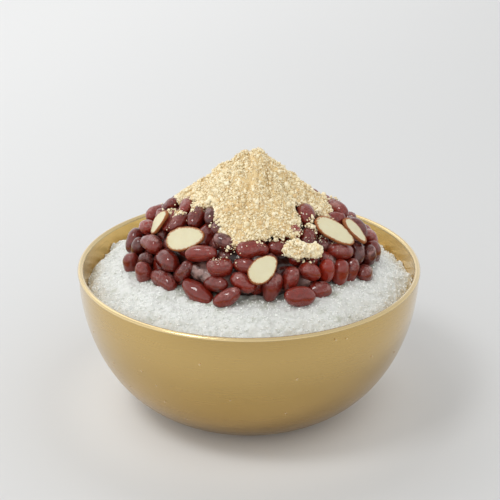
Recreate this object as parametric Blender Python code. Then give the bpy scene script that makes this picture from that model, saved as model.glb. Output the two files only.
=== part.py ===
"""Bingsu in its bowl: shaved ice, a heap of sweet red beans, roasted soybean powder and sliced almonds.

Units are metres, +Z is up, and the origin is the middle of the flat spot that the bowl stands on.
The eater sits on the -Y side.
"""
import math
import random

import bmesh
import bpy
import numpy as np
from mathutils import Matrix, Vector, noise

MM = 0.001
GAP = 0.3 * MM                      # kept between pieces that rest on each other

# Bowl
BOWL_RADIUS = 82.5 * MM
BOWL_HEIGHT = 73.0 * MM
FOOT_RADIUS = 28.0 * MM             # the flat spot under the bowl
WALL = 2.8 * MM
BELLY_POWER = 2.0 / 2.212           # 1 would be a plain elliptical belly, less is fuller
SEGMENTS = 60
BELLY_STEPS = 9
LIP_STEPS = 4

# Shaved ice
ICE_CROWN = 3.0 * MM                # top of the ice above the rim
ICE_SHOULDER = 15.0 * MM            # how far the ice falls from its crown to the wall
ICE_POWER = 6.3                     # a high power keeps the middle flat and the shoulder round
ICE_EDGE_DEPTH = 12.0 * MM          # mean depth below the rim where the ice meets the wall
ICE_EDGE_WANDER = 2.5 * MM
ICE_RELIEF = 0.8 * MM
ICE_LUMP = 9.0 * MM
ICE_RINGS = 6
SEAT_MARGIN = 2.0 * MM              # flat ice beyond the foot of the bean heap
SEAT_LEVEL = BOWL_HEIGHT + 2.0 * MM

# Heap of red beans
HEAP_CENTRE_X = 1.5 * MM
HEAP_REACH = 60.0 * MM
HEAP_FRONT_CUT = 8.0 * MM           # the heap reaches less far towards the eater
HEAP_BACK_CUT = 4.0 * MM
HEAP_CORNER_CUT = 2.5 * MM
HEAP_FOOT_LEVEL = BOWL_HEIGHT + 3.5 * MM
HEAP_RISE = 34.0 * MM
HEAP_SEGMENTS = 80
HEAP_RINGS = (0.997, 0.985, 0.96, 0.92, 0.87, 0.81, 0.74, 0.66, 0.57, 0.40, 0.20)
BEAN_LENGTH = 14.0 * MM
BEAN_WIDTH = 9.0 * MM
BEAN_BULGE = 3.6 * MM               # how far a bean stands out between the dents around it
BEAN_COUNT = 120

# Mound of soybean powder
POWDER_CENTRE = (2.0 * MM, 1.0 * MM)
POWDER_APEX = BOWL_HEIGHT + 56.0 * MM
POWDER_SLOPE = 0.80
POWDER_TIP = 5.5 * MM               # radius of the rounded tip
POWDER_REACH = 38.5 * MM
POWDER_SINK = 1.0 * MM              # how deep the mound sits between the beans
POWDER_RIM = 0.9 * MM               # thickness at the mound's foot
POWDER_FRONT_SLOPE = 2.0            # how fast it thickens from its foot
POWDER_RELIEF = 0.9 * MM
POWDER_SEGMENTS = 48
POWDER_RINGS = 9
# Where beans push into the mound's foot: direction and half width in degrees, depth in metres.
POWDER_NOTCHES = ((-145, 20, 10 * MM), (-50, 12, 9 * MM), (62, 16, 5 * MM), (148, 14, 4 * MM))

# Fallen clump of powder: centre, long axis, width, height, direction it faces
CLUMP_CENTRE = (24.5 * MM, -36.5 * MM, BOWL_HEIGHT + 23.0 * MM)
CLUMP_SIZE = (21.0 * MM, 10.0 * MM, 5.6 * MM)
CLUMP_FACING = (-58, 48)
CLUMP_TURN = -8
CLUMP_RELIEF = 0.9 * MM

# Almond slices: centre, the direction the face looks (degrees round and up from level),
# turn of the long axis in that face, length and width.
ALMOND_THICKNESS = 1.4 * MM
ALMOND_SEGMENTS = 26
ALMOND_TAPER = 0.16                 # how much narrower the pointed end is
ALMONDS = (
    ((-29.0 * MM, -29.5 * MM, 96.9 * MM), (-118, 36), 20, 19.5 * MM, 11.2 * MM),
    ((6.5 * MM, -48.7 * MM, 90.4 * MM), (-88, 38), 43, 15.5 * MM, 10.8 * MM),
    ((39.5 * MM, -23.0 * MM, 97.2 * MM), (-58, 48), -50, 21.0 * MM, 10.5 * MM),
    ((49.7 * MM, -12.8 * MM, 93.4 * MM), (-22, 46), -88, 15.5 * MM, 10.0 * MM),
    ((-42.0 * MM, -12.4 * MM, 97.8 * MM), (-165, 30), 60, 15.0 * MM, 10.0 * MM),
)
CUT_HEIGHT = 14.0 * MM              # how far the space above a topping is kept clear of beans


def clear_scene():
    for item in list(bpy.data.objects):
        bpy.data.objects.remove(item, do_unlink=True)


def make_material(name, colour, roughness, metallic=0.0):
    material = bpy.data.materials.new(name)
    material.use_nodes = True
    shader = material.node_tree.nodes["Principled BSDF"]
    shader.inputs["Base Color"].default_value = (*colour, 1.0)
    shader.inputs["Roughness"].default_value = roughness
    shader.inputs["Metallic"].default_value = metallic
    return material


def add_object(name, bm, material=None):
    """Turn a bmesh into an object with its faces pointing out, shaded smooth but for sharp edges."""
    bmesh.ops.recalc_face_normals(bm, faces=bm.faces)
    mesh = bpy.data.meshes.new(name)
    bm.to_mesh(mesh)
    bm.free()
    mesh.shade_smooth()
    mesh.set_sharp_from_angle(angle=math.radians(40))
    item = bpy.data.objects.new(name, mesh)
    bpy.context.scene.collection.objects.link(item)
    if material:
        mesh.materials.append(material)
    return item


def solid_of_rings(bottom, rings, top):
    """A closed body through a stack of rings of equal length, closed by a point at each end."""
    bm = bmesh.new()
    low = bm.verts.new(bottom)
    loops = [[bm.verts.new(point) for point in ring] for ring in rings]
    high = bm.verts.new(top)
    count = len(loops[0])
    for k in range(count):
        after = (k + 1) % count
        bm.faces.new((low, loops[0][after], loops[0][k]))
        bm.faces.new((high, loops[-1][k], loops[-1][after]))
        for inner, outer in zip(loops, loops[1:]):
            bm.faces.new((inner[k], inner[after], outer[after]))
            bm.faces.new((inner[k], outer[after], outer[k]))
    return bm


def cut(item, cutter):
    """Take the cutter's shape out of the item; the cutter stays as a hidden guide."""
    cutter.hide_render = True
    cutter.display_type = "WIRE"
    modifier = item.modifiers.new("space for " + cutter.name, "BOOLEAN")
    modifier.operation = "DIFFERENCE"
    modifier.object = cutter


def relief(x, y, size):
    """Smooth unevenness between about -1 and 1, with lumps of the given size."""
    return 2.0 * noise.noise(Vector((x / size, y / size, 0.5)))


def angles(count):
    return [2 * math.pi * k / count for k in range(count)]


# ---- bowl ----

def belly_profile():
    """Radius and height up the outer side: an ellipse quarter standing on the flat foot."""
    top = math.acos(WALL / 2 / BOWL_HEIGHT)
    profile = []
    for k in range(BELLY_STEPS + 1):
        t = top * k / BELLY_STEPS
        radius = FOOT_RADIUS + (BOWL_RADIUS - FOOT_RADIUS) * math.sin(t) ** BELLY_POWER
        profile.append((radius, BOWL_HEIGHT * (1 - math.cos(t))))
    return profile


def inner_profile(offset=WALL):
    """The outer profile moved inwards by an offset, from the bowl's floor up to the lip."""
    outer = np.array(belly_profile())
    along = np.gradient(outer, axis=0)
    along /= np.linalg.norm(along, axis=1)[:, None]
    normal = np.column_stack([-along[:, 1], along[:, 0]])
    normal[0] = (0.0, 1.0)
    normal[-1] = (-1.0, 0.0)
    return outer + normal * offset


def make_bowl(material):
    lip = [(BOWL_RADIUS - WALL / 2 + WALL / 2 * math.cos(a), BOWL_HEIGHT - WALL / 2 + WALL / 2 * math.sin(a))
           for a in (math.pi * k / LIP_STEPS for k in range(1, LIP_STEPS))]
    profile = belly_profile() + lip + [tuple(p) for p in inner_profile()[::-1]]
    profile = [(0.0, 0.0)] + profile + [(0.0, WALL)]
    bm = bmesh.new()
    verts = [bm.verts.new((radius, 0.0, height)) for radius, height in profile]
    edges = [bm.edges.new(pair) for pair in zip(verts, verts[1:])]
    bmesh.ops.spin(bm, geom=verts + edges, cent=(0, 0, 0), axis=(0, 0, 1), angle=2 * math.pi,
                   steps=SEGMENTS, use_merge=True)
    bmesh.ops.remove_doubles(bm, verts=bm.verts, dist=0.01 * MM)
    return add_object("bowl", bm, material)


# ---- shaved ice ----

def foot_radius(azimuth):
    """Reach of the bean heap from its centre in one direction."""
    s = math.sin(azimuth)
    return (HEAP_REACH - HEAP_FRONT_CUT * max(-s, 0) - HEAP_BACK_CUT * max(s, 0)
            - HEAP_CORNER_CUT * math.sin(2 * azimuth) ** 2)


def make_ice(material):
    inside = inner_profile(WALL + GAP)
    wall_radius, wall_height = inside[:, 0], inside[:, 1]
    azimuths = angles(SEGMENTS)
    edge = [BOWL_HEIGHT - ICE_EDGE_DEPTH + ICE_EDGE_WANDER * relief(4 * math.cos(a), 4 * math.sin(a), 1.0)
            for a in azimuths]
    lowest = min(edge)
    rings = []
    for radius, height in inside:
        if height < lowest - 2 * MM:
            rings.append([(radius * math.cos(a), radius * math.sin(a), height) for a in azimuths])
    for step in range(ICE_RINGS + 1):
        part = step / ICE_RINGS
        ring = []
        for a, level in zip(azimuths, edge):
            rim = float(np.interp(level, wall_height, wall_radius))
            seat = foot_radius(a) + SEAT_MARGIN
            radius = rim + (seat - rim) * part ** 1.25
            x = radius * math.cos(a) + HEAP_CENTRE_X * part
            y = radius * math.sin(a)
            dome = BOWL_HEIGHT + ICE_CROWN - ICE_SHOULDER * (math.hypot(x, y) / rim) ** ICE_POWER
            bumps = ICE_RELIEF * relief(x, y, ICE_LUMP) * math.sin(math.pi * part)
            free = level + (dome - level) * min(1.0, 3 * part) + bumps
            ring.append((x, y, min(free, SEAT_LEVEL) if part > 0.8 else free))
        rings.append(ring)
    rings.append([((foot_radius(a)) * math.cos(a) + HEAP_CENTRE_X, foot_radius(a) * math.sin(a), SEAT_LEVEL)
                  for a in azimuths])
    bottom = (0, 0, WALL + GAP)
    return add_object("shaved_ice", solid_of_rings(bottom, rings, (HEAP_CENTRE_X, 0, SEAT_LEVEL)), material)


# ---- heap of red beans ----

def dome_height(x, y):
    """Height of the bean heap without its beans' own bulges: a dome that stands steeply on its foot."""
    dx = x - HEAP_CENTRE_X
    share = min(math.hypot(dx, y) / foot_radius(math.atan2(y, dx)), 1.0)
    return HEAP_FOOT_LEVEL + HEAP_RISE * (1 - share ** 2.4) ** 0.6


def dome_point(share, azimuth):
    """A point on the dome, a share of the way from its middle to its foot, and the direction outwards there."""
    def at(part, angle):
        radius = foot_radius(angle) * part
        x, y = HEAP_CENTRE_X + radius * math.cos(angle), radius * math.sin(angle)
        return Vector((x, y, dome_height(x, y)))

    step = 0.004
    outwards = at(share - step, azimuth) - at(share, azimuth)
    around = at(share, azimuth + step) - at(share, azimuth)
    return at(share, azimuth), around.cross(outwards).normalized()


def bean_sites():
    """Beans spread evenly over the dome along a golden-angle spiral, each turned its own way."""
    rng = random.Random(11)
    golden = math.pi * (3 - math.sqrt(5))
    sites = []
    for k in range(BEAN_COUNT):
        point, normal = dome_point(math.sqrt((k + 0.5) / BEAN_COUNT), k * golden + rng.uniform(-0.05, 0.05))
        level = Vector((0, 0, 1)).cross(normal).normalized()
        sites.append((point, Matrix.Rotation(rng.uniform(0, math.pi), 3, normal) @ level))
    return sites


def bulge(point, sites):
    """How far the beans stand out at a point: half an ellipsoid over each bean's outline."""
    tallest = 0.0
    for middle, long_axis in sites:
        offset = point - middle
        along = offset.dot(long_axis)
        across = (offset - along * long_axis).length
        inside = 1 - (2 * along / BEAN_LENGTH) ** 2 - (2 * across / BEAN_WIDTH) ** 2
        if inside > 0:
            tallest = max(tallest, math.sqrt(inside))
    return BEAN_BULGE * (tallest - 0.5)


def make_heap(material):
    azimuths = angles(HEAP_SEGMENTS)
    base = SEAT_LEVEL + GAP
    sites = bean_sites()

    def base_point(share, azimuth, rise):
        radius = foot_radius(azimuth) * share
        return (HEAP_CENTRE_X + radius * math.cos(azimuth), radius * math.sin(azimuth), base + rise)

    def top_point(share, azimuth):
        point, normal = dome_point(share, azimuth)
        point += normal * bulge(point, sites)
        point.z = max(point.z, base + 1.2 * MM)
        return point

    rings = [[base_point(share, a, rise) for a in azimuths] for share, rise in ((0.93, 0.0), (0.975, 0.6 * MM))]
    rings += [[top_point(share, a) for a in azimuths] for share in HEAP_RINGS]
    return add_object("red_beans", solid_of_rings((HEAP_CENTRE_X, 0, base), rings, top_point(0.005, 0)), material)


# ---- soybean powder ----

def powder_reach(azimuth):
    """Reach of the powder mound in one direction, with the notches where beans stand in its foot."""
    reach = POWDER_REACH + 1.0 * MM * relief(3 * math.cos(azimuth), 3 * math.sin(azimuth), 1.0)
    for centre, half_width, depth in POWDER_NOTCHES:
        off = math.degrees(math.remainder(azimuth - math.radians(centre), 2 * math.pi)) / half_width
        reach -= depth * math.exp(-off * off)
    return reach


def powder_heights(x, y, from_foot):
    """Underside and top of the mound: a cone with a rounded tip over the bean heap."""
    under = dome_height(x, y) - POWDER_SINK
    radius = math.hypot((x - POWDER_CENTRE[0]) / 1.04, y - POWDER_CENTRE[1])
    cone = POWDER_APEX - POWDER_SLOPE * (math.sqrt(radius ** 2 + POWDER_TIP ** 2) - POWDER_TIP)
    cone += POWDER_RELIEF * relief(x, y, 7 * MM)
    thick = min(cone - under, POWDER_RIM + POWDER_FRONT_SLOPE * from_foot)
    return under, under + max(thick, POWDER_RIM)


def powder_body(grow=0.0, raised=0.0):
    """The mound; grown and raised, it is the space that the mound needs in the heap."""
    azimuths = angles(POWDER_SEGMENTS)

    def ring(share, side, grown):
        out = []
        for a in azimuths:
            radius = powder_reach(a) * share
            x = POWDER_CENTRE[0] + radius * math.cos(a)
            y = POWDER_CENTRE[1] + radius * math.sin(a)
            z = powder_heights(x, y, powder_reach(a) * (1 - share))[side]
            z += raised if side else -grow
            out.append((x + grown * math.cos(a), y + grown * math.sin(a), z))
        return out

    shares = [(k + 1) / POWDER_RINGS for k in range(POWDER_RINGS)]
    rings = [ring(share, 0, 0.0) for share in (0.33, 0.66)] + [ring(1.0, 0, grow), ring(1.0, 1, grow)]
    rings += [ring(share, 1, 0.0) for share in shares[-2::-1]]
    under, top = powder_heights(*POWDER_CENTRE, POWDER_REACH)
    return solid_of_rings((*POWDER_CENTRE, under - grow), rings, (*POWDER_CENTRE, top + raised))


def facing(direction, turn):
    """Rotation that makes a flat piece look in a direction, with its long axis turned in its own plane."""
    azimuth, elevation = (math.radians(value) for value in direction)
    normal = Vector((math.cos(elevation) * math.cos(azimuth), math.cos(elevation) * math.sin(azimuth),
                     math.sin(elevation)))
    level = Vector((0, 0, 1)).cross(normal).normalized()
    steep = normal.cross(level)
    frame = Matrix((level, steep, normal)).transposed()
    return frame @ Matrix.Rotation(math.radians(turn), 3, "Z")


def place(item, centre, direction, turn):
    item.location = centre
    item.rotation_euler = facing(direction, turn).to_euler()


def clump_body(grow=0.0):
    """A lumpy flattened ball, one lobe larger than the other."""
    bm = bmesh.new()
    bmesh.ops.create_icosphere(bm, subdivisions=3, radius=1.0)
    for vert in bm.verts:
        direction = vert.co.normalized()
        lobe = 1.0 - 0.25 * max(direction.x, 0.0) + 0.12 * math.cos(2.6 * math.pi * direction.x)
        half = Vector(CLUMP_SIZE) / 2
        point = Vector((direction.x * half.x, direction.y * half.y * lobe, direction.z * half.z * lobe))
        vert.co = point + direction * (CLUMP_RELIEF * relief(3 * direction.x, 3 * direction.y, 1.0) + grow)
    return bm


# ---- almonds ----

def almond_body(length, width, grow=0.0, above=0.0):
    """A thin slice with an almond's outline: an ellipse that narrows towards one end."""
    bm = bmesh.new()
    outline = []
    for t in angles(ALMOND_SEGMENTS):
        x = (length / 2 + grow) * math.cos(t)
        y = (width / 2 + grow) * math.sin(t) * (1 - ALMOND_TAPER * math.cos(t))
        outline.append(bm.verts.new((x, y, -ALMOND_THICKNESS / 2 - grow)))
    face = bm.faces.new(outline)
    raised = bmesh.ops.extrude_face_region(bm, geom=[face])["geom"]
    lift = Vector((0, 0, ALMOND_THICKNESS + grow + above))
    bmesh.ops.translate(bm, verts=[v for v in raised if isinstance(v, bmesh.types.BMVert)], vec=lift)
    return bm


def main():
    clear_scene()
    brass = make_material("brushed_brass", (0.62, 0.44, 0.20), 0.34, 1.0)
    ice = make_material("shaved_ice", (0.84, 0.87, 0.88), 0.6)
    beans = make_material("sweet_red_beans", (0.17, 0.030, 0.022), 0.3)
    powder = make_material("soybean_powder", (0.74, 0.56, 0.31), 0.9)
    nut = make_material("almond_slice", (0.80, 0.68, 0.47), 0.6)

    make_bowl(brass)
    make_ice(ice)
    heap = make_heap(beans)

    add_object("powder_mound", powder_body(), powder)
    cut(heap, add_object("powder_space", powder_body(grow=GAP, raised=CUT_HEIGHT)))

    clump = add_object("powder_clump", clump_body(), powder)
    clump_space = add_object("clump_space", clump_body(grow=GAP))
    for item in (clump, clump_space):
        place(item, CLUMP_CENTRE, CLUMP_FACING, CLUMP_TURN)
    cut(heap, clump_space)

    for number, (centre, direction, turn, length, width) in enumerate(ALMONDS, start=1):
        slice_ = add_object(f"almond_{number}", almond_body(length, width), nut)
        space = add_object(f"almond_space_{number}", almond_body(length, width, GAP, CUT_HEIGHT))
        for item in (slice_, space):
            place(item, centre, direction, turn)
        cut(heap, space)


main()
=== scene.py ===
"""Bingsu in its bowl: shaved ice, sweet red beans in syrup, roasted soybean powder and sliced almonds.

Every piece is a surface worked out with numpy from a few sizes, around the frame's own nodes.
Metres, +Z up, the origin in the middle of the flat spot that the bowl stands on, the eater on the -Y side.
"""
import math

import bpy
import numpy as np
from bpy.props import FloatProperty, FloatVectorProperty, IntProperty, PointerProperty
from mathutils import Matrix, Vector


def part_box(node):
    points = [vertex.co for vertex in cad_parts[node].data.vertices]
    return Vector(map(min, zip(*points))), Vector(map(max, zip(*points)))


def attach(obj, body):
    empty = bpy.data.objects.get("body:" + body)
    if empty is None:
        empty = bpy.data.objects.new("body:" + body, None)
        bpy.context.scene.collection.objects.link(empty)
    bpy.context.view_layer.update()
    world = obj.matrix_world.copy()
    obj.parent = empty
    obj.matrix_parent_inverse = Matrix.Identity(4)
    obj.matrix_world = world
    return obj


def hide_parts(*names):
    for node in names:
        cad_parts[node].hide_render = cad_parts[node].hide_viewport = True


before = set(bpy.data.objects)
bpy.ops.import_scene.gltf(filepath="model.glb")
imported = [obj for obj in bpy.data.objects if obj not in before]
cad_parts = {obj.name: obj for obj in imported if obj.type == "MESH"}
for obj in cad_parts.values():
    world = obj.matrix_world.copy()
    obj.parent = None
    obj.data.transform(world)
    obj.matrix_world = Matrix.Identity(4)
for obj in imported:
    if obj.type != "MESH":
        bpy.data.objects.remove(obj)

bl_info = {
    "name": "Bingsu bowl",
    "version": (1, 0, 0),
    "blender": (4, 5, 0),
    "location": "View3D > Sidebar > Bingsu",
    "description": "Builds a bowl of bingsu with its toppings, and the table and light it is shown in",
    "category": "Add Mesh",
}

MM = 0.001
TURN = 2 * math.pi
GOLDEN = math.pi * (3 - math.sqrt(5))

BOWL_REACH, _, RIM = (float(high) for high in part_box("bowl")[1])
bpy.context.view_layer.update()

# Space between the ice and the bowl's wall.
ICE_GAP = 0.15 * MM
# A bean is taken as a row of balls when others lie on it: their radius for each unit of its width.
BALL_SHARE = 0.47

# Where the almond slices lie: the direction each face looks in (degrees round and up from level), the turn of
# its long axis in that face, its length and width, and how much brown skin has stayed on its edge.
ALMOND_POSES = (
    ("almond_1", (-118, 36), 20, 19.5, 11.2, 1.0),
    ("almond_2", (-88, 38), 43, 15.5, 10.8, 0.9),
    ("almond_3", (-58, 48), -50, 21.0, 10.5, 1.0),
    ("almond_4", (-22, 46), -88, 15.5, 10.0, 1.2),
    ("almond_5", (-165, 30), 60, 15.0, 10.0, 1.0),
)

# How the fallen clump of powder lies, given in the same way.
CLUMP_POSE = ("powder_clump", (-58, 48), -8, 19.0, 8.6, 0)

# The beans that show from the eater's side, laid one by one: direction round the heap in degrees,
# share of the way from the heap's middle to its foot, turn of the long axis from level, length and width in
# millimetres.
LAID_BEANS = (
    # along the foot of the heap, left to right
    (-166, 1.07, 90, 11.0, 7.0), (-153, 1.08, 82, 12.0, 7.5), (-142, 1.04, 175, 16.0, 7.8),
    (-119, 1.04, 162, 17.0, 8.3), (-102, 1.10, 32, 13.5, 7.0), (-80, 0.99, 67, 14.0, 7.6),
    (-68, 1.12, 167, 15.0, 8.2), (-51, 1.03, 28, 12.0, 7.8), (-36, 0.99, 50, 12.5, 8.0),
    (-21, 1.03, 160, 14.5, 8.4), (-4, 1.02, 137, 14.0, 7.0),
    # above the foot
    (-178, 0.96, 110, 12.0, 7.6), (-170, 0.98, 62, 12.0, 7.0), (-159, 0.99, 30, 13.0, 7.0),
    (-161, 0.91, 165, 14.5, 7.8), (-143, 0.95, 160, 14.5, 8.6), (-130, 0.97, 40, 12.0, 7.2),
    (-109, 0.98, 10, 12.5, 6.8), (-108, 0.92, 5, 12.0, 8.6), (-95, 0.97, 147, 12.5, 7.0),
    (-69, 0.97, 47, 12.0, 7.6), (-56, 0.96, 162, 12.0, 7.4), (-46, 0.99, 142, 12.0, 7.4),
    (-32, 0.93, 155, 13.0, 8.0), (-29, 0.99, 55, 12.0, 7.0), (-18, 0.95, 22, 12.5, 7.4),
    (-11, 0.99, 120, 12.5, 7.0), (-1, 0.97, 122, 12.5, 7.0),
    # halfway up
    (-176, 0.90, 38, 12.0, 7.0), (-121, 0.85, 28, 15.0, 7.0), (-95, 0.89, 2, 12.0, 6.6),
    (-91, 0.81, 10, 14.5, 7.4), (-112, 0.79, 10, 11.5, 6.8), (-46, 0.79, 40, 13.0, 8.0),
    (-67, 0.78, 170, 11.5, 7.0), (-57, 0.73, 165, 11.5, 7.0), (-5, 0.89, 95, 12.5, 7.2),
    (-13, 0.78, 97, 11.5, 7.0), (-3, 0.74, 60, 13.0, 7.0),
    # against the powder
    (-162, 0.76, 115, 11.5, 7.0), (-153, 0.71, 35, 11.5, 6.8), (-146, 0.63, 65, 12.0, 7.5),
    (-137, 0.60, 130, 15.0, 6.6), (-170, 0.60, 150, 12.0, 6.6), (177, 0.82, 140, 11.5, 7.0),
    (180, 0.66, 38, 11.5, 6.6), (-34, 0.60, 55, 12.5, 8.4),
)

# Where beans push into the powder's foot: direction and half width in degrees, depth in millimetres.
POWDER_NOTCHES = ((-164, 9, 10), (-137, 18, 12), (-104, 12, -4), (-38, 12, 15), (62, 16, 5), (148, 14, 4))

# Crumbs fallen on the beans: direction, share of the way to the foot, number, spread in millimetres.
FALLEN_CRUMBS = (
    (-40, 0.69, 120, 1.6), (-48, 0.60, 30, 2.4), (-158, 0.67, 70, 1.6), (-167, 0.70, 60, 1.6),
    (-150, 0.60, 30, 2.0), (-116, 0.62, 40, 2.0), (-75, 0.66, 30, 2.6), (10, 0.64, 40, 3.0),
    (-58, 0.84, 50, 3.4), (-65, 0.80, 40, 1.6),
)
# Finer grains on the beans, given in the same way.
SCATTERED_GRAINS = (
    (-107, 0.78, 50, 2.6), (-110, 0.88, 34, 1.8), (-98, 0.84, 14, 2.4), (-88, 0.74, 16, 4.0),
    (-40, 0.80, 50, 3.4), (-33, 0.86, 24, 2.4), (-50, 0.70, 30, 3.0), (-155, 0.72, 30, 3.0),
    (60, 0.8, 60, 8.0), (110, 0.85, 50, 9.0), (160, 0.8, 50, 7.0), (20, 0.75, 50, 7.0),
)


# ---- meshes ----

def ring_faces(rings, around, poles=True):
    """Faces of a stack of closed rings: quads between neighbouring rings, and a fan to a pole at each end.

    The poles are the two vertices after the rings: first the one next to ring 0, then the one at the far end.
    """
    row = np.arange(rings - 1)[:, None] * around
    here = np.arange(around)
    after = (here + 1) % around
    quads = np.stack([row + here, row + after, row + around + after, row + around + here], axis=-1)
    if not poles:
        return [quads.reshape(-1, 4)]
    low = np.full(around, rings * around)
    last = (rings - 1) * around
    fans = np.concatenate([np.stack([low, after, here], axis=-1),
                           np.stack([low + 1, last + here, last + after], axis=-1)])
    return [quads.reshape(-1, 4), fans]


def repeated(faces, copies, vertices_each):
    """The same faces for each of many copies that follow each other in one vertex array."""
    step = np.arange(copies)[:, None, None] * vertices_each
    return [(part[None] + step).reshape(-1, part.shape[1]) for part in faces]


def make_mesh(name, points, faces):
    """A mesh from an array of points and arrays of faces, each array with faces of one number of corners."""
    mesh = bpy.data.meshes.new(name)
    corners = np.concatenate([part.ravel() for part in faces]).astype(np.int32)
    sizes = np.concatenate([np.full(len(part), part.shape[1]) for part in faces])
    starts = np.concatenate([[0], np.cumsum(sizes)[:-1]]).astype(np.int32)
    mesh.vertices.add(len(points))
    mesh.vertices.foreach_set("co", np.asarray(points, dtype=np.float32).ravel())
    mesh.loops.add(len(corners))
    mesh.loops.foreach_set("vertex_index", corners)
    mesh.polygons.add(len(sizes))
    mesh.polygons.foreach_set("loop_start", starts)
    mesh.update(calc_edges=True)
    mesh.validate()
    return mesh


def add_piece(name, points, faces, material, slot, replaces=(), smooth=True, **tones):
    """A piece of the object: its mesh, its material, a number at each vertex for each tone, and its body."""
    mesh = make_mesh(name, np.reshape(points, (-1, 3)), faces)
    if smooth:
        mesh.shade_smooth()
    mesh.materials.append(material)
    for tone, values in tones.items():
        layer = mesh.attributes.new(tone, "FLOAT", "POINT")
        layer.data.foreach_set("value", np.asarray(values, dtype=np.float32).ravel())
    piece = bpy.data.objects.new(name, mesh)
    bpy.context.scene.collection.objects.link(piece)
    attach(piece, "root")
    if replaces:
        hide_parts(*replaces)


def unit(vectors):
    """The same vectors with a length of 1."""
    return vectors / np.linalg.norm(vectors, axis=-1, keepdims=True)


def circle(around):
    """Evenly spaced directions round Z."""
    return TURN * np.arange(around) / around


def spoke(azimuth):
    """The level vector of length 1 in each direction round Z."""
    return np.stack([np.cos(azimuth), np.sin(azimuth), 0 * azimuth], axis=-1)


def placed(frames, shapes, centres):
    """Each shape turned by its frame and moved to its centre."""
    return np.einsum("nij,nkj->nki", frames, shapes) + np.asarray(centres)[:, None]


def lattice(points, size, seed):
    """Smooth unevenness from -1 to 1: random values on a cubic lattice, blended between its corners."""
    table = np.random.default_rng(seed).uniform(-1, 1, (32, 32, 32))
    scaled = np.asarray(points, dtype=float) / size + 7.3
    cell = np.floor(scaled).astype(int)
    part = scaled - cell
    part = part * part * (3 - 2 * part)
    total = 0.0
    for corner in np.ndindex(2, 2, 2):
        index = (cell + corner) % 32
        weight = np.prod(np.where(corner, part, 1 - part), axis=-1)
        total = total + weight * table[index[..., 0], index[..., 1], index[..., 2]]
    return total


def relief(points, layers, seed):
    """Sum of several sizes of unevenness, each given as (size of its lumps, height)."""
    return sum(height * lattice(points, size, seed + k) for k, (size, height) in enumerate(layers))


def pebbles(place, size, seed):
    """Height of round lumps packed side by side: over each, its radius times sqrt(1 - (distance / radius)^2).

    Their middles are jittered on a square lattice in plan; between them the height is 0.
    """
    table = np.random.default_rng(seed).uniform(0, 1, (64, 64, 3))
    cell = np.floor(place[..., :2] / size).astype(int)
    height = 0.0
    for step in np.ndindex(3, 3):
        index = cell + step - 1
        chance = table[index[..., 0] % 64, index[..., 1] % 64]
        middle = (index + 0.15 + 0.7 * chance[..., :2]) * size
        radius = size * (0.45 + 0.35 * chance[..., 2])
        far = ((place[..., :2] - middle) ** 2).sum(axis=-1) / radius ** 2
        height = np.maximum(height, radius * np.sqrt(np.clip(1 - far, 0, None)))
    return height


def normals_of(surface):
    """Outward normals of a surface of closed rings: across the rings, turned from the way along them."""
    along = np.roll(surface, -1, axis=-2) - np.roll(surface, 1, axis=-2)
    across = np.gradient(surface, axis=-3)
    normal = np.cross(along, across)
    return normal / (np.linalg.norm(normal, axis=-1, keepdims=True) + 1e-12)


def random_turns(count, rng):
    """Evenly random rotation matrices, from random unit quaternions."""
    w, x, y, z = (rng.normal(size=(count, 4))).T
    size = np.sqrt(w * w + x * x + y * y + z * z)
    w, x, y, z = w / size, x / size, y / size, z / size
    rows = [[1 - 2 * (y * y + z * z), 2 * (x * y - w * z), 2 * (x * z + w * y)],
            [2 * (x * y + w * z), 1 - 2 * (x * x + z * z), 2 * (y * z - w * x)],
            [2 * (x * z - w * y), 2 * (y * z + w * x), 1 - 2 * (x * x + y * y)]]
    return np.moveaxis(np.array(rows), -1, 0)


def ball(rings, around):
    """Points of a unit ball as a stack of rings with a pole at each end, and its faces."""
    tilt = np.pi * (np.arange(rings) + 1) / (rings + 1)
    turn = circle(around)
    ring = np.stack([np.sin(tilt)[:, None] * np.cos(turn), np.sin(tilt)[:, None] * np.sin(turn),
                     -np.cos(tilt)[:, None] + 0 * turn], axis=-1)
    points = np.concatenate([ring.reshape(-1, 3), [[0, 0, -1], [0, 0, 1]]])
    return points, ring_faces(rings, around)


def scatter_lumps(centres, sizes, rng, rings, around, rough, flat=0.7):
    """Irregular lumps: a ball for each centre, each corner moved in or out at random, squashed and turned."""
    template, faces = ball(rings, around)
    count = len(centres)
    shape = template[None] * rng.uniform(1 - rough, 1 + rough, (count, len(template), 1))
    shape = shape * rng.uniform(flat, 1.0, (count, 1, 3)) * np.reshape(sizes, (-1, 1, 1))
    return placed(random_turns(count, rng), shape, centres), repeated(faces, count, len(template))


def uneven_sizes(rng, number, least, mean, most):
    """Radii, most of them small: least plus an exponential draw cut off at most, all in millimetres."""
    return (least + rng.exponential(mean, number).clip(0, most)) * MM


def with_ends(values, low=0.0, high=0.0):
    """The numbers of a stack of rings, followed by those of its two poles."""
    return np.concatenate([np.ravel(values), [low, high]])


def per_copy(values, points):
    """One value for each copy, repeated at each of its vertices."""
    return np.repeat(values, points.shape[1])


# ---- the heap's shape ----

def foot_radius(azimuth):
    """Reach of the bean heap from its centre: less towards the eater, a little less behind and between."""
    settings = bpy.context.scene.bingsu_beans
    back = np.sin(azimuth)
    return (settings.reach - settings.front_cut * np.clip(-back, 0, 1)
            - settings.back_cut * np.clip(back, 0, 1) - settings.corner_cut * np.sin(2 * azimuth) ** 2)


def dome_level(share, rise):
    """Height of a dome that stands steeply on its foot: rise times (1 - share to the 2.4) to the 0.6."""
    return rise * np.clip(1 - np.clip(share, 0, 1) ** 2.4, 0, None) ** 0.6


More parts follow.
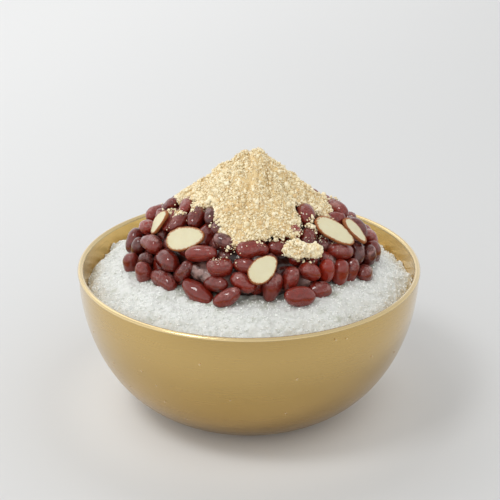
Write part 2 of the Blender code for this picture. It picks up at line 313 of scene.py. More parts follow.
def heap_surface(azimuth, share, inside=0.0):
    """A point of the bean heap's dome, or of the dome that lies a depth inside it."""
    settings = bpy.context.scene.bingsu_beans
    azimuth, share = np.broadcast_arrays(azimuth, share)
    radius = (foot_radius(azimuth) - inside) * share
    depth = inside * 0.55
    level = RIM + settings.foot_level + depth + dome_level(share, settings.rise - inside - depth)
    return np.stack([settings.centre_x + radius * np.cos(azimuth), radius * np.sin(azimuth), level], axis=-1)


def heap_frame(azimuth, share, inside=0.0):
    """At a place of the dome: the point, the level way round the heap, the way up the slope, and out."""
    near = np.clip(share, 0.02, 0.996)
    step = 0.003
    here = heap_surface(azimuth, near, inside)
    along = heap_surface(azimuth + step, near, inside) - here
    up = heap_surface(azimuth, near - step, inside) - here
    out = unit(np.cross(along, up))
    level = unit(np.cross([0.0, 0.0, 1.0], out))
    return heap_surface(azimuth, share, inside), level, np.cross(out, level), out


def heap_place(points):
    """The direction round the heap, and the share of the way to its foot, of places given by x and y."""
    x = points[..., 0] - bpy.context.scene.bingsu_beans.centre_x
    y = points[..., 1]
    azimuth = np.arctan2(y, x)
    return azimuth, np.hypot(x, y) / foot_radius(azimuth)


# ---- materials ----

class Shade:
    """A number in a shader, with Python's operators: each one adds a Math node."""

    def __init__(self, tree, socket):
        self.tree = tree
        self.socket = socket

    def _math(self, operation, first, second):
        node = self.tree.nodes.new("ShaderNodeMath")
        node.operation = operation
        for socket, value in zip(node.inputs, (first, second)):
            connect(self.tree, socket, value)
        return Shade(self.tree, node.outputs[0])

    def __add__(self, other):
        return self._math("ADD", self, other)

    def __sub__(self, other):
        return self._math("SUBTRACT", self, other)

    def __rsub__(self, other):
        return self._math("SUBTRACT", other, self)

    def __mul__(self, other):
        return self._math("MULTIPLY", self, other)

    def __pow__(self, other):
        return self._math("POWER", self, other)

    __radd__ = __add__
    __rmul__ = __mul__


def connect(tree, socket, value):
    """Set a socket to a constant, or link another socket into it."""
    if isinstance(value, Shade):
        value = value.socket
    if isinstance(value, bpy.types.NodeSocket):
        tree.links.new(value, socket)
    elif hasattr(value, "__len__") and len(value) == 3 and socket.type == "RGBA":
        socket.default_value = (*value, 1.0)
    else:
        socket.default_value = value


class Nodes:
    """Adds nodes to the tree of a material or of the sky."""

    def __init__(self, tree):
        self.tree = tree

    def add(self, kind, settings=None, out=0, **sockets):
        """Add a node of a type with its settings, values or links for its sockets, and give one output."""
        node = self.tree.nodes.new(kind)
        for name, value in (settings or {}).items():
            setattr(node, name, value)
        for name, value in sockets.items():
            key = int(name[1:]) if name[0] == "_" else name.replace("_", " ")
            connect(self.tree, node.inputs[key], value)
        return Shade(self.tree, node.outputs[out])

    def step(self, value, low, high):
        """0 below low, 1 above high, smooth between."""
        return self.add("ShaderNodeMapRange", {"interpolation_type": "SMOOTHSTEP"}, Value=value,
                        From_Min=low, From_Max=high)

    def mix(self, first, second, factor):
        return self.add("ShaderNodeMix", {"data_type": "RGBA"}, out=2, _0=factor, _6=first, _7=second)


class Finish(Nodes):
    """A Principled material under construction."""

    def __init__(self, name, **constants):
        self.material = bpy.data.materials.new(name)
        self.material.use_nodes = True
        super().__init__(self.material.node_tree)
        self.shader = self.tree.nodes["Principled BSDF"]
        for socket, value in constants.items():
            self.feed(socket.replace("_", " "), value)

    def feed(self, socket, value):
        connect(self.tree, self.shader.inputs[socket], value)

    def place(self, stretch=(1, 1, 1)):
        """Object coordinates, stretched along the axes."""
        coordinates = self.add("ShaderNodeTexCoord", out="Object")
        return self.add("ShaderNodeMapping", Vector=coordinates, Scale=stretch)

    def noise(self, size, detail=2.0, rough=0.5, where=None):
        """Noise around 0.5 with lumps of a size in metres."""
        where = where or self.place()
        return self.add("ShaderNodeTexNoise", Vector=where, Scale=1 / size, Detail=detail, Roughness=rough)

    def tone(self, name):
        """The number that a piece carries at its vertices."""
        return self.add("ShaderNodeAttribute", {"attribute_name": name}, out="Fac")

    def bump(self, height, distance, strength):
        return self.add("ShaderNodeBump", Height=height, Distance=distance, Strength=strength)


def brass_finish(settings):
    """Satin metal brushed in level lines: noise drawn out round the bowl, in the bump and the roughness.

    The metal darkens low on the belly, a painted shade for the shaded table that it mirrors, and its coat
    fades there. The lip's paler colour is a painted highlight, and the inside's lighter colour a painted
    reflection.
    """
    finish = Finish("satin_brass", Metallic=1.0, Coat_Roughness=0.20, Coat_IOR=1.6)
    lines = finish.noise(0.00035, 3.0, 0.6, where=finish.place((0.02, 0.02, 1.0)))
    bands = finish.noise(0.004, 2.0, 0.5, where=finish.place((0.05, 0.05, 1.0)))
    clouds = finish.noise(0.03, 2.0, 0.5)
    height = finish.add("ShaderNodeSeparateXYZ", out="Z", Vector=finish.place())
    # Painted shade: the base colour darkens low on the belly, standing in for the shaded table that it
    # mirrors.
    painted_shade_fade = finish.step(height + clouds * 0.008, -0.004, 0.068)
    side = finish.mix(settings.deep, settings.colour, painted_shade_fade)
    # Painted highlight: the lip's paler, creamier colour stands in for the bright highlight along it.
    side = finish.mix(side, settings.edge, finish.tone("lip"))
    # Painted reflection: the inside's lighter colour stands in for the brighter light that it mirrors.
    finish.feed("Base Color", finish.mix(side, settings.inside, finish.tone("inside")))
    finish.feed("Coat Weight", painted_shade_fade ** 2)
    finish.feed("Roughness", settings.roughness + lines * 0.10 + bands * 0.06 - 0.08)
    finish.feed("Normal", finish.bump(lines + bands * 0.5, 0.00006, 0.5))
    return finish.material


def water_finish():
    """Droplets that let the metal show through, a little lighter than it: their pale gold is a painted
    highlight.
    """
    finish = Finish("water_droplet", Roughness=0.05, IOR=1.33, Alpha=0.30)
    streaks = finish.noise(0.0006, 1.0)
    # Painted highlight: the pale gold stands in for the light that the drops catch.
    finish.feed("Base Color", finish.mix((0.78, 0.62, 0.36), (0.86, 0.70, 0.44), streaks))
    return finish.material


def ice_finish(name, settings, scatter, glow):
    """Loose white ice: painted shade between its grains, greyer wet spots, and painted shade towards the
    heap's foot.

    Light scatters inside the bed. The loose grains are too small for that, so a faint glow of their own
    colour stands for the light that comes through them.
    """
    finish = Finish(name, IOR=1.31, Subsurface_Weight=scatter, Subsurface_Radius=(1.0, 1.0, 1.0),
                    Subsurface_Scale=0.0016, Emission_Strength=glow)
    # The wet spots grow towards the heap's foot: there the greyer colour is painted shade under the beans.
    wet = finish.step(finish.noise(0.0060, 3.0, 0.6) + finish.tone("foot") * 0.35, 0.55, 0.80)
    grain = finish.noise(0.0016, 2.0, 0.6)
    # Painted shade: the darker colour in the fine noise stands for shade between the grains.
    white = finish.mix(settings.colour, settings.shade, finish.step(grain, 0.40, 0.75))
    finish.feed("Base Color", finish.mix(white, settings.wet, wet * 0.65))
    finish.feed("Emission Color", finish.mix(settings.colour, settings.wet, wet))
    finish.feed("Roughness", 0.50 - wet * 0.25)
    finish.feed("Normal", finish.bump(grain, 0.0002, 0.4))
    return finish.material


def bean_finish(settings):
    """Wet skin, lighter or darker from bean to bean, finely wrinkled, with pale patches on the upper sides.

    The patches are partly syrup and partly a painted sheen of the light from above.
    """
    finish = Finish("sweet_red_bean", IOR=1.45, Specular_IOR_Level=0.2, Coat_Weight=1.0, Coat_Roughness=0.05)
    shade = finish.tone("shade")
    syrup_and_sheen = finish.tone("syrup_and_sheen")
    mottle = finish.noise(0.0022, 3.0, 0.6)
    skin = finish.mix(settings.dark, settings.light, shade * 0.8 + mottle * 0.8 - 0.35)
    # The pale patches are partly syrup and partly painted sheen of the light from above.
    syrup_sheen_patches = syrup_and_sheen * finish.step(finish.noise(0.0034, 4.0, 0.7), 0.46, 0.62)
    finish.feed("Base Color", finish.mix(skin, settings.syrup_and_sheen, syrup_sheen_patches * 0.8))
    finish.feed("Roughness", 0.24 + mottle * 0.16)
    wrinkle = finish.tone("wrinkle") * finish.noise(0.0014, 2.0, 0.6)
    finish.feed("Normal", finish.bump(wrinkle + mottle * 0.4 + syrup_sheen_patches * 0.4, 0.0012, 0.9))
    return finish.material


def syrup_finish(settings):
    """Thick syrup between the beans, milky in the pools where ground beans have clouded it.

    Its near-black colour is partly the dark syrup and partly painted shade deep in the gaps.
    """
    finish = Finish("bean_syrup", IOR=1.46, Coat_Weight=0.3, Coat_Roughness=0.06)
    curl = finish.noise(0.0018, 3.0, 0.6)
    cloud = finish.tone("pool") * finish.step(finish.noise(0.0070, 3.0, 0.6), 0.38, 0.62)
    finish.feed("Base Color", finish.mix(settings.syrup, settings.milky, cloud * (0.55 + curl)))
    finish.feed("Roughness", 0.22 + curl * 0.16)
    finish.feed("Normal", finish.bump(curl + finish.noise(0.004, 2.0), 0.0008, 0.6))
    return finish.material


def powder_finish(name, settings, grains):
    """Dry roasted powder: cream with tan in places, and each loose grain in its own tone.

    The body, seen between the crumbs, is darker than them: painted shade between the crumbs.
    """
    finish = Finish(name, IOR=1.4, Roughness=0.92)
    tan = finish.step(finish.noise(0.0012, 2.0, 0.6), 0.50, 0.75)
    ground = finish.mix(settings.ground, settings.tan, tan * 0.6)
    if grains:
        shade = finish.tone("shade")
        ground = finish.mix(settings.cream, settings.colour, finish.step(shade, 0.15, 0.80))
        ground = finish.mix(ground, settings.tan, finish.step(shade, 0.80, 0.97))
    finish.feed("Base Color", ground)
    finish.feed("Normal", finish.bump(finish.noise(0.0007, 2.0, 0.6), 0.0003, 0.5))
    return finish.material


def almond_finish(settings):
    """Cream nut with faint growth lines, and brown skin where the piece carries it."""
    finish = Finish("almond_slice", IOR=1.45, Subsurface_Weight=0.25, Subsurface_Radius=(1.0, 0.75, 0.45),
                    Subsurface_Scale=0.0012)
    skin = finish.tone("skin")
    edge = finish.step(skin + finish.noise(0.0008, 2.0, 0.6) * 0.35 - 0.17, 0.42, 0.60)
    faint = finish.noise(0.0030, 3.0, 0.6)
    nut = finish.mix(settings.face, settings.face_deep, faint * 0.7 + finish.tone("rim") * 0.5 - 0.15)
    brown = finish.mix(settings.skin, settings.skin_deep, finish.noise(0.0012, 2.0))
    finish.feed("Base Color", finish.mix(nut, brown, edge))
    finish.feed("Roughness", 0.5 + faint * 0.15)
    finish.feed("Normal", finish.bump(finish.noise(0.0006, 2.0, 0.6) + faint, 0.00012, 0.5))
    return finish.material


def table_finish(settings):
    """A matt, nearly white table with painted light on it.

    Painted shade falls to the right and well in front, and a painted pool of light lies close round the foot.
    """
    finish = Finish("pale_table", Roughness=0.75)
    aside = finish.add("ShaderNodeSeparateXYZ", out="X", Vector=finish.place())
    back = finish.add("ShaderNodeSeparateXYZ", out="Y", Vector=finish.place())
    # Painted shade towards the right.
    deeper = finish.step(aside - back * 0.6 + finish.noise(0.4, 2.0) * 0.05, -0.85, 0.20)
    table = finish.mix(settings.table, settings.painted_shade_right, deeper)
    # Painted shade well in front of the bowl.
    table = finish.mix(settings.painted_shade_front, table, finish.step(back, -0.35, -0.10))
    # Painted pool of light close round the bowl's foot.
    away = finish.add("ShaderNodeVectorMath", {"operation": "LENGTH"}, out="Value", _0=finish.place())
    finish.feed("Base Color", finish.mix(settings.painted_light_near, table, finish.step(away, 0.060, 0.105)))
    return finish.material


# ---- settings ----

def length(name, text, millimetres):
    return FloatProperty(name=name, description=text, default=millimetres * MM, unit="LENGTH", precision=5)


def plain(name, text, value, **limits):
    return FloatProperty(name=name, description=text, default=value, **limits)


def colour(name, text, *value):
    return FloatVectorProperty(name=name, description=text, default=value, subtype="COLOR", min=0, max=1)


def count(name, text, value):
    return IntProperty(name=name, description=text, default=value, min=1)


class BingsuBowl(bpy.types.PropertyGroup):
    wall: length("Wall", "Thickness of the bowl's wall and lip", 2.8)
    bead: length("Bead", "Height of the rolled lip on the outside", 1.1)
    groove: length("Undercut", "How far the side steps in below the lip", 0.8)
    foot: length("Flat spot", "Radius of the flat spot that the bowl stands on", 28.0)
    power: plain("Belly power", "1 is an elliptical belly, less is fuller", 2.0 / 2.212)
    roughness: plain("Roughness", "Roughness of the satin metal", 0.26)
    colour: colour("Metal", "Main colour of the metal", 0.63, 0.42, 0.130)
    # deep: painted shade low on the belly, for the shaded table that the belly mirrors.
    deep: colour("Deep metal", "Colour low on the belly", 0.29, 0.165, 0.032)
    # inside: lighter than the outside metal, a painted reflection.
    inside: colour("Inner metal", "Colour of the brighter metal inside", 0.90, 0.61, 0.19)
    # edge: the lip's paler colour, a painted highlight.
    edge: colour("Lip metal", "Colour of the polished lip", 0.62, 0.47, 0.22)


class BingsuIce(bpy.types.PropertyGroup):
    crown: length("Crown", "Top of the ice above the rim", 3.0)
    shoulder: length("Shoulder", "How far the ice falls from its crown to the wall", 15.0)
    power: plain("Shoulder power", "High values keep the middle flat", 6.3)
    ragged: plain("Ragged edge", "How much rougher the ice is towards the wall", 3.6)
    wander: length("Edge wander", "How unevenly the ice meets the wall", 3.0)
    grains: count("Loose grains", "Number of loose grains on the ice", 5200)
    colour: colour("Ice", "Colour of dry ice", 0.69, 0.70, 0.675)
    # shade: painted shade between the grains.
    shade: colour("Ice shade", "Colour between the grains", 0.60, 0.62, 0.58)
    # wet is also the painted shade under the beans, towards the heap's foot.
    wet: colour("Wet ice", "Colour of wet, clearer ice", 0.42, 0.44, 0.36)


class BingsuBeans(bpy.types.PropertyGroup):
    centre_x: length("Centre", "How far right of the bowl's middle the heap stands", 1.5)
    reach: length("Reach", "Reach of the heap to the sides", 60.0)
    front_cut: length("Front cut", "How much less it reaches towards the eater", 8.0)
    back_cut: length("Back cut", "How much less it reaches behind", 4.0)
    corner_cut: length("Corner cut", "How much less it reaches between those", 2.5)
    foot_level: length("Foot level", "Level of the heap's foot above the rim", 3.5)
    rise: length("Rise", "Height of the heap over its foot", 34.0)
    depth: length("Bean depth", "How deep the middles of the top beans lie", 3.2)
    light: colour("Light skin", "Skin of the lightest beans", 0.29, 0.018, 0.006)
    dark: colour("Dark skin", "Skin of the darkest beans", 0.065, 0.005, 0.002)
    # Partly syrup, partly painted sheen on the beans' upper sides.
    syrup_and_sheen: colour("Film", "Pale syrup on the skins", 0.40, 0.19, 0.17)
    # Near black: partly the syrup's own colour, partly painted shade in the gaps.
    syrup: colour("Syrup", "Clear syrup over dark beans", 0.030, 0.007, 0.004)
    milky: colour("Milky syrup", "Syrup clouded by ground beans", 0.32, 0.19, 0.165)


class BingsuPowder(bpy.types.PropertyGroup):
    centre_x: length("Centre X", "Middle of the mound, to the right", 2.0)
    centre_y: length("Centre Y", "Middle of the mound, backwards", 1.0)
    apex: length("Apex", "Top of the mound above the rim", 56.0)
    slope: plain("Slope", "Fall of the mound's side for each unit outwards", 0.80)
    lean: plain("Lean", "How much steeper its right side is", 0.24)
    ease: plain("Ease", "How much gentler its lower side is", 0.15)
    ease_from: length("Ease from", "Distance from its middle at which the gentler side begins", 24.0)
    tip: length("Tip", "Radius of the rounded tip", 4.5)
    reach: length("Reach", "Reach of the mound from its middle", 38.5)
    sink: length("Sink", "How deep the mound sits between the beans", 1.0)
    rim: length("Rim", "Thickness at its foot", 0.7)
    front: plain("Front slope", "How fast it thickens from its foot", 2.0)
    crumbs: count("Crumbs", "Number of crumbs that cover the mound", 9900)
    grains: count("Grains", "Number of finer loose grains", 12000)
    spill: count("Spill", "Number of crumbs along the mound's foot", 1500)
    clods: count("Clods", "Number of small clods", 1500)
    colour: colour("Powder", "Main colour of the powder", 0.87, 0.75, 0.49)
    cream: colour("Cream", "Lightest grains", 0.92, 0.83, 0.61)
    # ground: darker than the crumbs, painted shade between them.
    ground: colour("Ground", "Powder between the crumbs", 0.76, 0.59, 0.32)
    tan: colour("Tan", "Darker grains", 0.72, 0.52, 0.27)


class BingsuAlmonds(bpy.types.PropertyGroup):
    thickness: length("Thickness", "Thickness of a slice", 1.4)
    taper: plain("Taper", "How much narrower the pointed end is", 0.16)
    face: colour("Face", "Cut face of the nut", 0.69, 0.65, 0.45)
    face_deep: colour("Face shade", "Darker parts of the cut face", 0.60, 0.52, 0.32)
    skin: colour("Skin", "Brown skin on the edge", 0.40, 0.135, 0.030)
    skin_deep: colour("Dark skin", "Darker parts of the skin", 0.20, 0.050, 0.012)


class BingsuStage(bpy.types.PropertyGroup):
    lens: plain("Lens", "Focal length in millimetres", 85.0)
    distance: plain("Distance", "From the camera to the point it looks at", 0.570, unit="LENGTH")
    elevation: plain("Elevation", "Height of the camera above level", math.radians(23.7), subtype="ANGLE")
    look_at: length("Look at", "Height of the point it looks at", 78.0)
    table: colour("Table", "Colour of the table behind and on the left", 0.755, 0.76, 0.76)
    # Painted shade on the right and in front, and a painted pool of light round the foot.
    painted_shade_right: colour("Table shade", "Colour of the table on the right", 0.60, 0.605, 0.605)
    painted_shade_front: colour("Table front", "Colour of the table well in front of the bowl", 0.46, 0.46, 0.46)
    painted_light_near: colour("Table near", "Colour of the table close round the foot", 0.82, 0.825, 0.82)
    key: plain("Key light", "Power of the large light from behind on the left, in watts", 6.0)
    glint: plain("Glint light", "Power of the small light that the wet beans mirror, in watts", 4.5)
    sky: plain("Sky", "Strength of the light from all round", 1.46)
    sky_low: colour("Horizon", "Colour of the sky low down", 1.0, 1.0, 1.0)
    sky_high: colour("Zenith", "Colour of the sky overhead", 0.58, 0.58, 0.58)
    bright_side: FloatVectorProperty(name="Bright side", description="Where the sky is brightest",
                                     default=(-0.25, -0.10, -0.96), subtype="DIRECTION")


# ---- bowl ----

def belly(settings, t):
    """Radius and height of the outer side: foot + (R - foot) sin(t)^power, and H (1 - cos t)."""
    radius = settings.foot + (BOWL_REACH - settings.foot) * np.sin(t) ** settings.power
    return np.stack([radius, RIM * (1 - np.cos(t))], axis=-1)


def belly_turn(settings, share):
    """The belly's parameter, in steps that grow finer towards the lip."""
    return math.acos(settings.wall / 2 / RIM) * (1 - (1 - share) ** 1.5)


def inner_side(settings, steps, offset):
    """The outer side moved in by an offset, square to itself."""
    outer = belly(settings, belly_turn(settings, np.linspace(0, 1, steps)))
    along = unit(np.gradient(outer, axis=0))
    square = np.stack([-along[:, 1], along[:, 0]], axis=-1)
    square[0] = (0.0, 1.0)
    square[-1] = (-1.0, 0.0)
    return outer + square * offset


def wall_radius(height, gap):
    """Radius of the bowl's inside at a height, less a gap."""
    settings = bpy.context.scene.bingsu_bowl
    side = inner_side(settings, 120, settings.wall)
    return np.interp(height, side[:, 1], side[:, 0]) - gap


def turned(profile, around):
    """A profile of radii and heights carried round the Z axis."""
    turn = circle(around)
    radius, height = profile[:, 0, None], profile[:, 1, None]
    return np.stack([radius * np.cos(turn), radius * np.sin(turn), height + 0 * turn], axis=-1)


def with_poles(surface, low, high):
    """The points of a stack of rings, followed by its two poles."""
    return np.concatenate([surface.reshape(-1, 3), [low, high]])


class BINGSU_OT_bowl(bpy.types.Operator):
    """Make the turned metal bowl: full belly, rolled lip, and a thin undercut below the lip"""
    bl_idname = "bingsu.bowl"
    bl_label = "Bowl"

    def execute(self, context):
        settings = context.scene.bingsu_bowl
        around = 192
        outer = belly(settings, belly_turn(settings, np.linspace(0, 1, 170)))
        turn = np.linspace(0, np.pi, 36)[1:-1]
        half = settings.wall / 2
        lip = np.stack([BOWL_REACH - half + half * np.cos(turn), RIM - half + half * np.sin(turn)], axis=-1)
        profile = np.concatenate([outer, lip, inner_side(settings, 70, settings.wall)[::-1]])
        below_lip = np.clip(RIM - settings.bead - profile[:, 1], 0, None)
        sharp, fade = 0.25 * MM, 9 * MM
        groove = settings.groove * np.exp(-below_lip / fade) * (1 - np.exp(-(below_lip / sharp) ** 2))
        outside = len(outer) + 12
        profile[:outside, 0] -= groove[:outside]
        surface = turned(profile, around)
        step = np.arange(len(profile))
        # Where the inside's painted reflection colour goes.
        inside = np.repeat(step > len(outer) + len(lip), around)
        # Where the lip's painted highlight colour goes.
        on_lip = np.repeat((step > len(outer)) & (step <= len(outer) + len(lip)), around)
        add_piece("metal_bowl", with_poles(surface, (0, 0, 0), (0, 0, settings.wall)),
                  ring_faces(len(profile), around), brass_finish(settings), "brass", replaces=("bowl",),
                  inside=with_ends(inside, high=1.0), lip=with_ends(on_lip))
        return {"FINISHED"}


# Droplets on the outside: direction round the bowl in degrees, height and width in millimetres.
DROPLETS = (
    (-121, 31, 1.3), (-122, 41, 1.0), (-127, 47, 1.2), (-143, 42, 1.2), (-138, 31, 1.0), (-115, 21, 1.2),
    (-105, 59, 1.0), (-47, 52, 1.2), (-75, 51, 1.3), (-77, 30, 1.2), (-63, 68, 0.9), (-59, 67, 0.8),
    (-96, 40, 0.8), (-31, 44, 1.0), (-154, 52, 0.9), (40, 50, 1.2), (75, 34, 1.1), (118, 47, 1.3),
    (160, 38, 1.0),
)


class BINGSU_OT_droplets(bpy.types.Operator):
    """Make the few droplets on the bowl: balls pressed flat on the metal and drawn out a little downwards"""
    bl_idname = "bingsu.droplets"
    bl_label = "Droplets"

    def execute(self, context):
        settings = context.scene.bingsu_bowl
        azimuth, height, width = np.array(DROPLETS).T
        azimuth = np.radians(azimuth)
        t = np.arccos(1 - height * MM / RIM)
        radius, level = belly(settings, t).T
        ahead, above = belly(settings, t + 0.01).T
        slope = np.arctan2(above - level, ahead - radius)
        radial = spoke(azimuth)
        up = np.array([0.0, 0.0, 1.0])
        out = radial * np.sin(slope)[:, None] - up * np.cos(slope)[:, None]
        along = radial * np.cos(slope)[:, None] + up * np.sin(slope)[:, None]
        side = np.cross(along, out)
        middle = radial * radius[:, None] + up * level[:, None]
        template, faces = ball(7, 14)
        size = (width * MM / 2)[:, None, None]
        drop = template[None] * size * (1.0, 1.18, 0.40)
        points = placed(np.stack([side, along, out], axis=-1), drop, middle)
        add_piece("bowl_droplets", points, repeated(faces, len(width), len(template)), water_finish(), "ice")
        return {"FINISHED"}


# ---- shaved ice ----

# Unevenness of the ice as (size, height), its lumps as (size, share of a round lump's height), and the wander
# of its edge as (size, weight).
ICE_RELIEF = ((14 * MM, 0.9 * MM), (7 * MM, 0.6 * MM), (3.0 * MM, 0.36 * MM), (1.3 * MM, 0.22 * MM))
ICE_LUMPS = ((4.2 * MM, 0.10), (2.0 * MM, 0.08))
ICE_EDGE = ((25 * MM, 0.6), (7 * MM, 0.6), (2.5 * MM, 0.45))


def ice_surface(azimuth, part):
    """Top of the ice, from the wall (part 0) to below the heap (part 1).

    Height = crown less shoulder times (share of the way out to the wall) to a high power, plus a wander of
    the line along the wall that fades inwards, plus relief.
    """
    settings = bpy.context.scene.bingsu_ice
    azimuth, part = np.broadcast_arrays(azimuth, part)
    wander = settings.wander * relief(spoke(azimuth) * BOWL_REACH, ICE_EDGE, 31)
    low = RIM + settings.crown - settings.shoulder
    wall = wall_radius(low + wander, ICE_GAP)
    radius = wall + (foot_radius(azimuth) - 7 * MM - wall) * part
    share = radius / wall
    place = spoke(azimuth) * radius[..., None]
    level = RIM + settings.crown - settings.shoulder * share ** settings.power + wander * share ** 24
    ragged = 1 + settings.ragged * share ** 9
    level = level + relief(place, ICE_RELIEF, 35) * ragged - 0.2 * MM
    level = level + sum(height * pebbles(place, size, 60 + k) for k, (size, height) in enumerate(ICE_LUMPS))
    place[..., :2] *= (np.minimum(radius, wall_radius(level, ICE_GAP)) / radius)[..., None]
    place[..., 2] = level
    return place


class BINGSU_OT_ice(bpy.types.Operator):
    """Make the shaved ice: one body that fills the bowl, with an uneven top, and loose grains on it"""
    bl_idname = "bingsu.ice"
    bl_label = "Shaved ice"

    def execute(self, context):
        settings = context.scene.bingsu_ice
        around = 860
        azimuth = circle(around)
        part = np.linspace(0, 1, 96)
        top = ice_surface(azimuth[None], part[:, None])
        lowest = top[0, :, 2].min() - 1 * MM
        floor = context.scene.bingsu_bowl.wall + ICE_GAP
        heights = np.linspace(floor, lowest, 6)
        side = turned(np.stack([wall_radius(heights, ICE_GAP), heights], axis=-1), around)
        surface = np.concatenate([side, top])
        points = with_poles(surface, (0, 0, floor), (0, 0, float(top[-1, :, 2].mean())))
        # foot rises towards the heap, where the ice takes its painted shade under the beans.
        foot = np.concatenate([np.zeros(len(side)), np.clip(part * 4 - 2.4, 0, 1)])
        add_piece("ice_bed", points, ring_faces(len(surface), around),
                  ice_finish("packed_ice", settings, 1.0, 0.0), "ice", replaces=("shaved_ice",),
                  foot=with_ends(np.repeat(foot, around), high=1.0))

        rng = np.random.default_rng(5)
        part = rng.uniform(0, 1, settings.grains) ** 1.6
        centres = ice_surface(rng.uniform(0, TURN, settings.grains), part * 0.86)
        sizes = rng.uniform(0.22, 0.58, settings.grains) * MM
        centres[:, 2] += sizes * rng.uniform(-0.2, 0.7, settings.grains)
        pull = np.minimum(1, wall_radius(centres[:, 2], 0.5 * MM) / np.hypot(centres[:, 0], centres[:, 1]))
        centres[:, :2] *= pull[:, None]
        points, faces = scatter_lumps(centres, sizes, rng, 2, 5, 0.25)
        add_piece("ice_grains", points, faces, ice_finish("loose_ice", settings, 0.0, 0.25), "ice",
                  smooth=False)
        return {"FINISHED"}


# ---- almonds ----

def facing(direction, turn):
    """Axes of a flat piece that looks in a direction: its long axis, its other axis and its normal."""
    azimuth, elevation = np.radians(direction)
    normal = np.cos(elevation) * spoke(azimuth) + (0, 0, np.sin(elevation))
    level = unit(np.cross([0.0, 0.0, 1.0], normal))
    steep = np.cross(normal, level)
    turn = math.radians(turn)
    return np.stack([level * math.cos(turn) + steep * math.sin(turn),
                     steep * math.cos(turn) - level * math.sin(turn), normal])


def middle_of(node):
    low, high = (np.array(corner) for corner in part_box(node))
    return (low + high) / 2


# Unevenness of a slice's faces and of its outline, as (size, height).
FACE_RELIEF = ((5 * MM, 0.16 * MM), (1.6 * MM, 0.05 * MM))
OUTLINE_RELIEF = ((2.2 * MM, 0.22 * MM), (0.9 * MM, 0.08 * MM))


def almond_surface(settings, length, width, seed):
    """A slice as rings from the middle of its underside, round its edge, to the middle of its face.

    The outline is x = L/2 cos t, y = W/2 sin t (1 - taper cos t). The edge is rounded, the slice is bent a
    little along its length, and both faces are slightly uneven. Also gives how far each point is on the rim.
    """
    around = 84
    half, bevel = settings.thickness / 2, 0.5 * MM
    bow = np.radians(np.linspace(-90, 90, 9))
    faces = np.array([0.12, 0.3, 0.5, 0.68, 0.82, 0.92])
    reach = np.concatenate([faces, np.ones(len(bow)), faces[::-1]])[:, None]
    inset = np.concatenate([0 * faces, bevel * (1 - np.cos(bow)), 0 * faces])[:, None]
    inset = inset + bevel * (reach < 1)
    level = np.concatenate([faces * 0 - half, (half - bevel) * np.sign(bow) + bevel * np.sin(bow),
                            faces * 0 + half])[:, None]
    t = circle(around)
    x = (length / 2 - inset) * reach * np.cos(t)
    y = (width / 2 - inset) * reach * np.sin(t) * (1 - settings.taper * np.cos(t))
    place = np.stack([x, y, level + 0 * t], axis=-1)
    uneven = relief(place + seed, FACE_RELIEF, 50)
    edge = relief(place + seed, OUTLINE_RELIEF, 60)
    place[..., 0] += edge * np.cos(t) * reach ** 3
    place[..., 1] += edge * np.sin(t) * reach ** 3
    place[..., 2] += uneven - 0.35 * MM * (2 * x / length) ** 2
    near_rim = faces ** 5 * 0.7
    rim = np.concatenate([near_rim, 0.55 + 0.45 * np.cos(bow) ** 0.7, near_rim[::-1]])
    return place, rim[:, None] + 0 * t


class BINGSU_OT_almonds(bpy.types.Operator):
    """Make the sliced almonds where they lie, each with its brown skin on the edge"""
    bl_idname = "bingsu.almonds"
    bl_label = "Almond slices"

    def execute(self, context):
        settings = context.scene.bingsu_almonds
        material = almond_finish(settings)
        for number, (node, direction, turn, length, width, skin) in enumerate(ALMOND_POSES):
            surface, rim = almond_surface(settings, length * MM, width * MM, 0.11 * number)
            rings, around = surface.shape[:2]
            points = with_poles(surface, *surface[[0, -1]].mean(axis=1))
            points = points @ facing(direction, turn) + middle_of(node)
            rim = with_ends(rim)
            add_piece("sliced_" + node, points, ring_faces(rings, around), material, "almond",
                      replaces=(node,), skin=rim * skin, rim=rim)
        return {"FINISHED"}


# ---- red beans ----

def under_almonds(points, radii, reach=0.0):
    """How far each point would have to go inwards to pass below the slices and the clump, as a vector."""
    settings = bpy.context.scene.bingsu_almonds
    move = np.zeros_like(points)
    for node, direction, turn, length, width, _ in (*ALMOND_POSES, CLUMP_POSE):
        axes = facing(direction, turn)
        local = (points - middle_of(node)) @ axes.T
        over = ((2 * local[:, :2] / (np.array([length, width]) * MM + reach)) ** 2).sum(axis=1)
        depth = local[:, 2] + radii + settings.thickness / 2
        move -= np.where((over < 1) & (depth > 0), depth, 0)[:, None] * axes[2]
    return move


def bean_balls(centres, axes, lengths, widths, number=3):
    """Middles of a row of balls along each bean."""
    places = np.linspace(-0.5, 0.5, number)[None, :, None]
    balls = centres[:, None] + axes[:, None] * (lengths - widths * 0.9)[:, None, None] * places
    return balls.reshape(-1, 3)


# Rounds in which crowded beans are pushed apart, how far each may sink or rise meanwhile, and the space that
# slices and the clump keep below and round them.
SETTLE_ROUNDS = 40
SINK, RISE = 2.0 * MM, 0.5 * MM
SPACE_BELOW, SPACE_ROUND = 0.5 * MM, 2 * MM


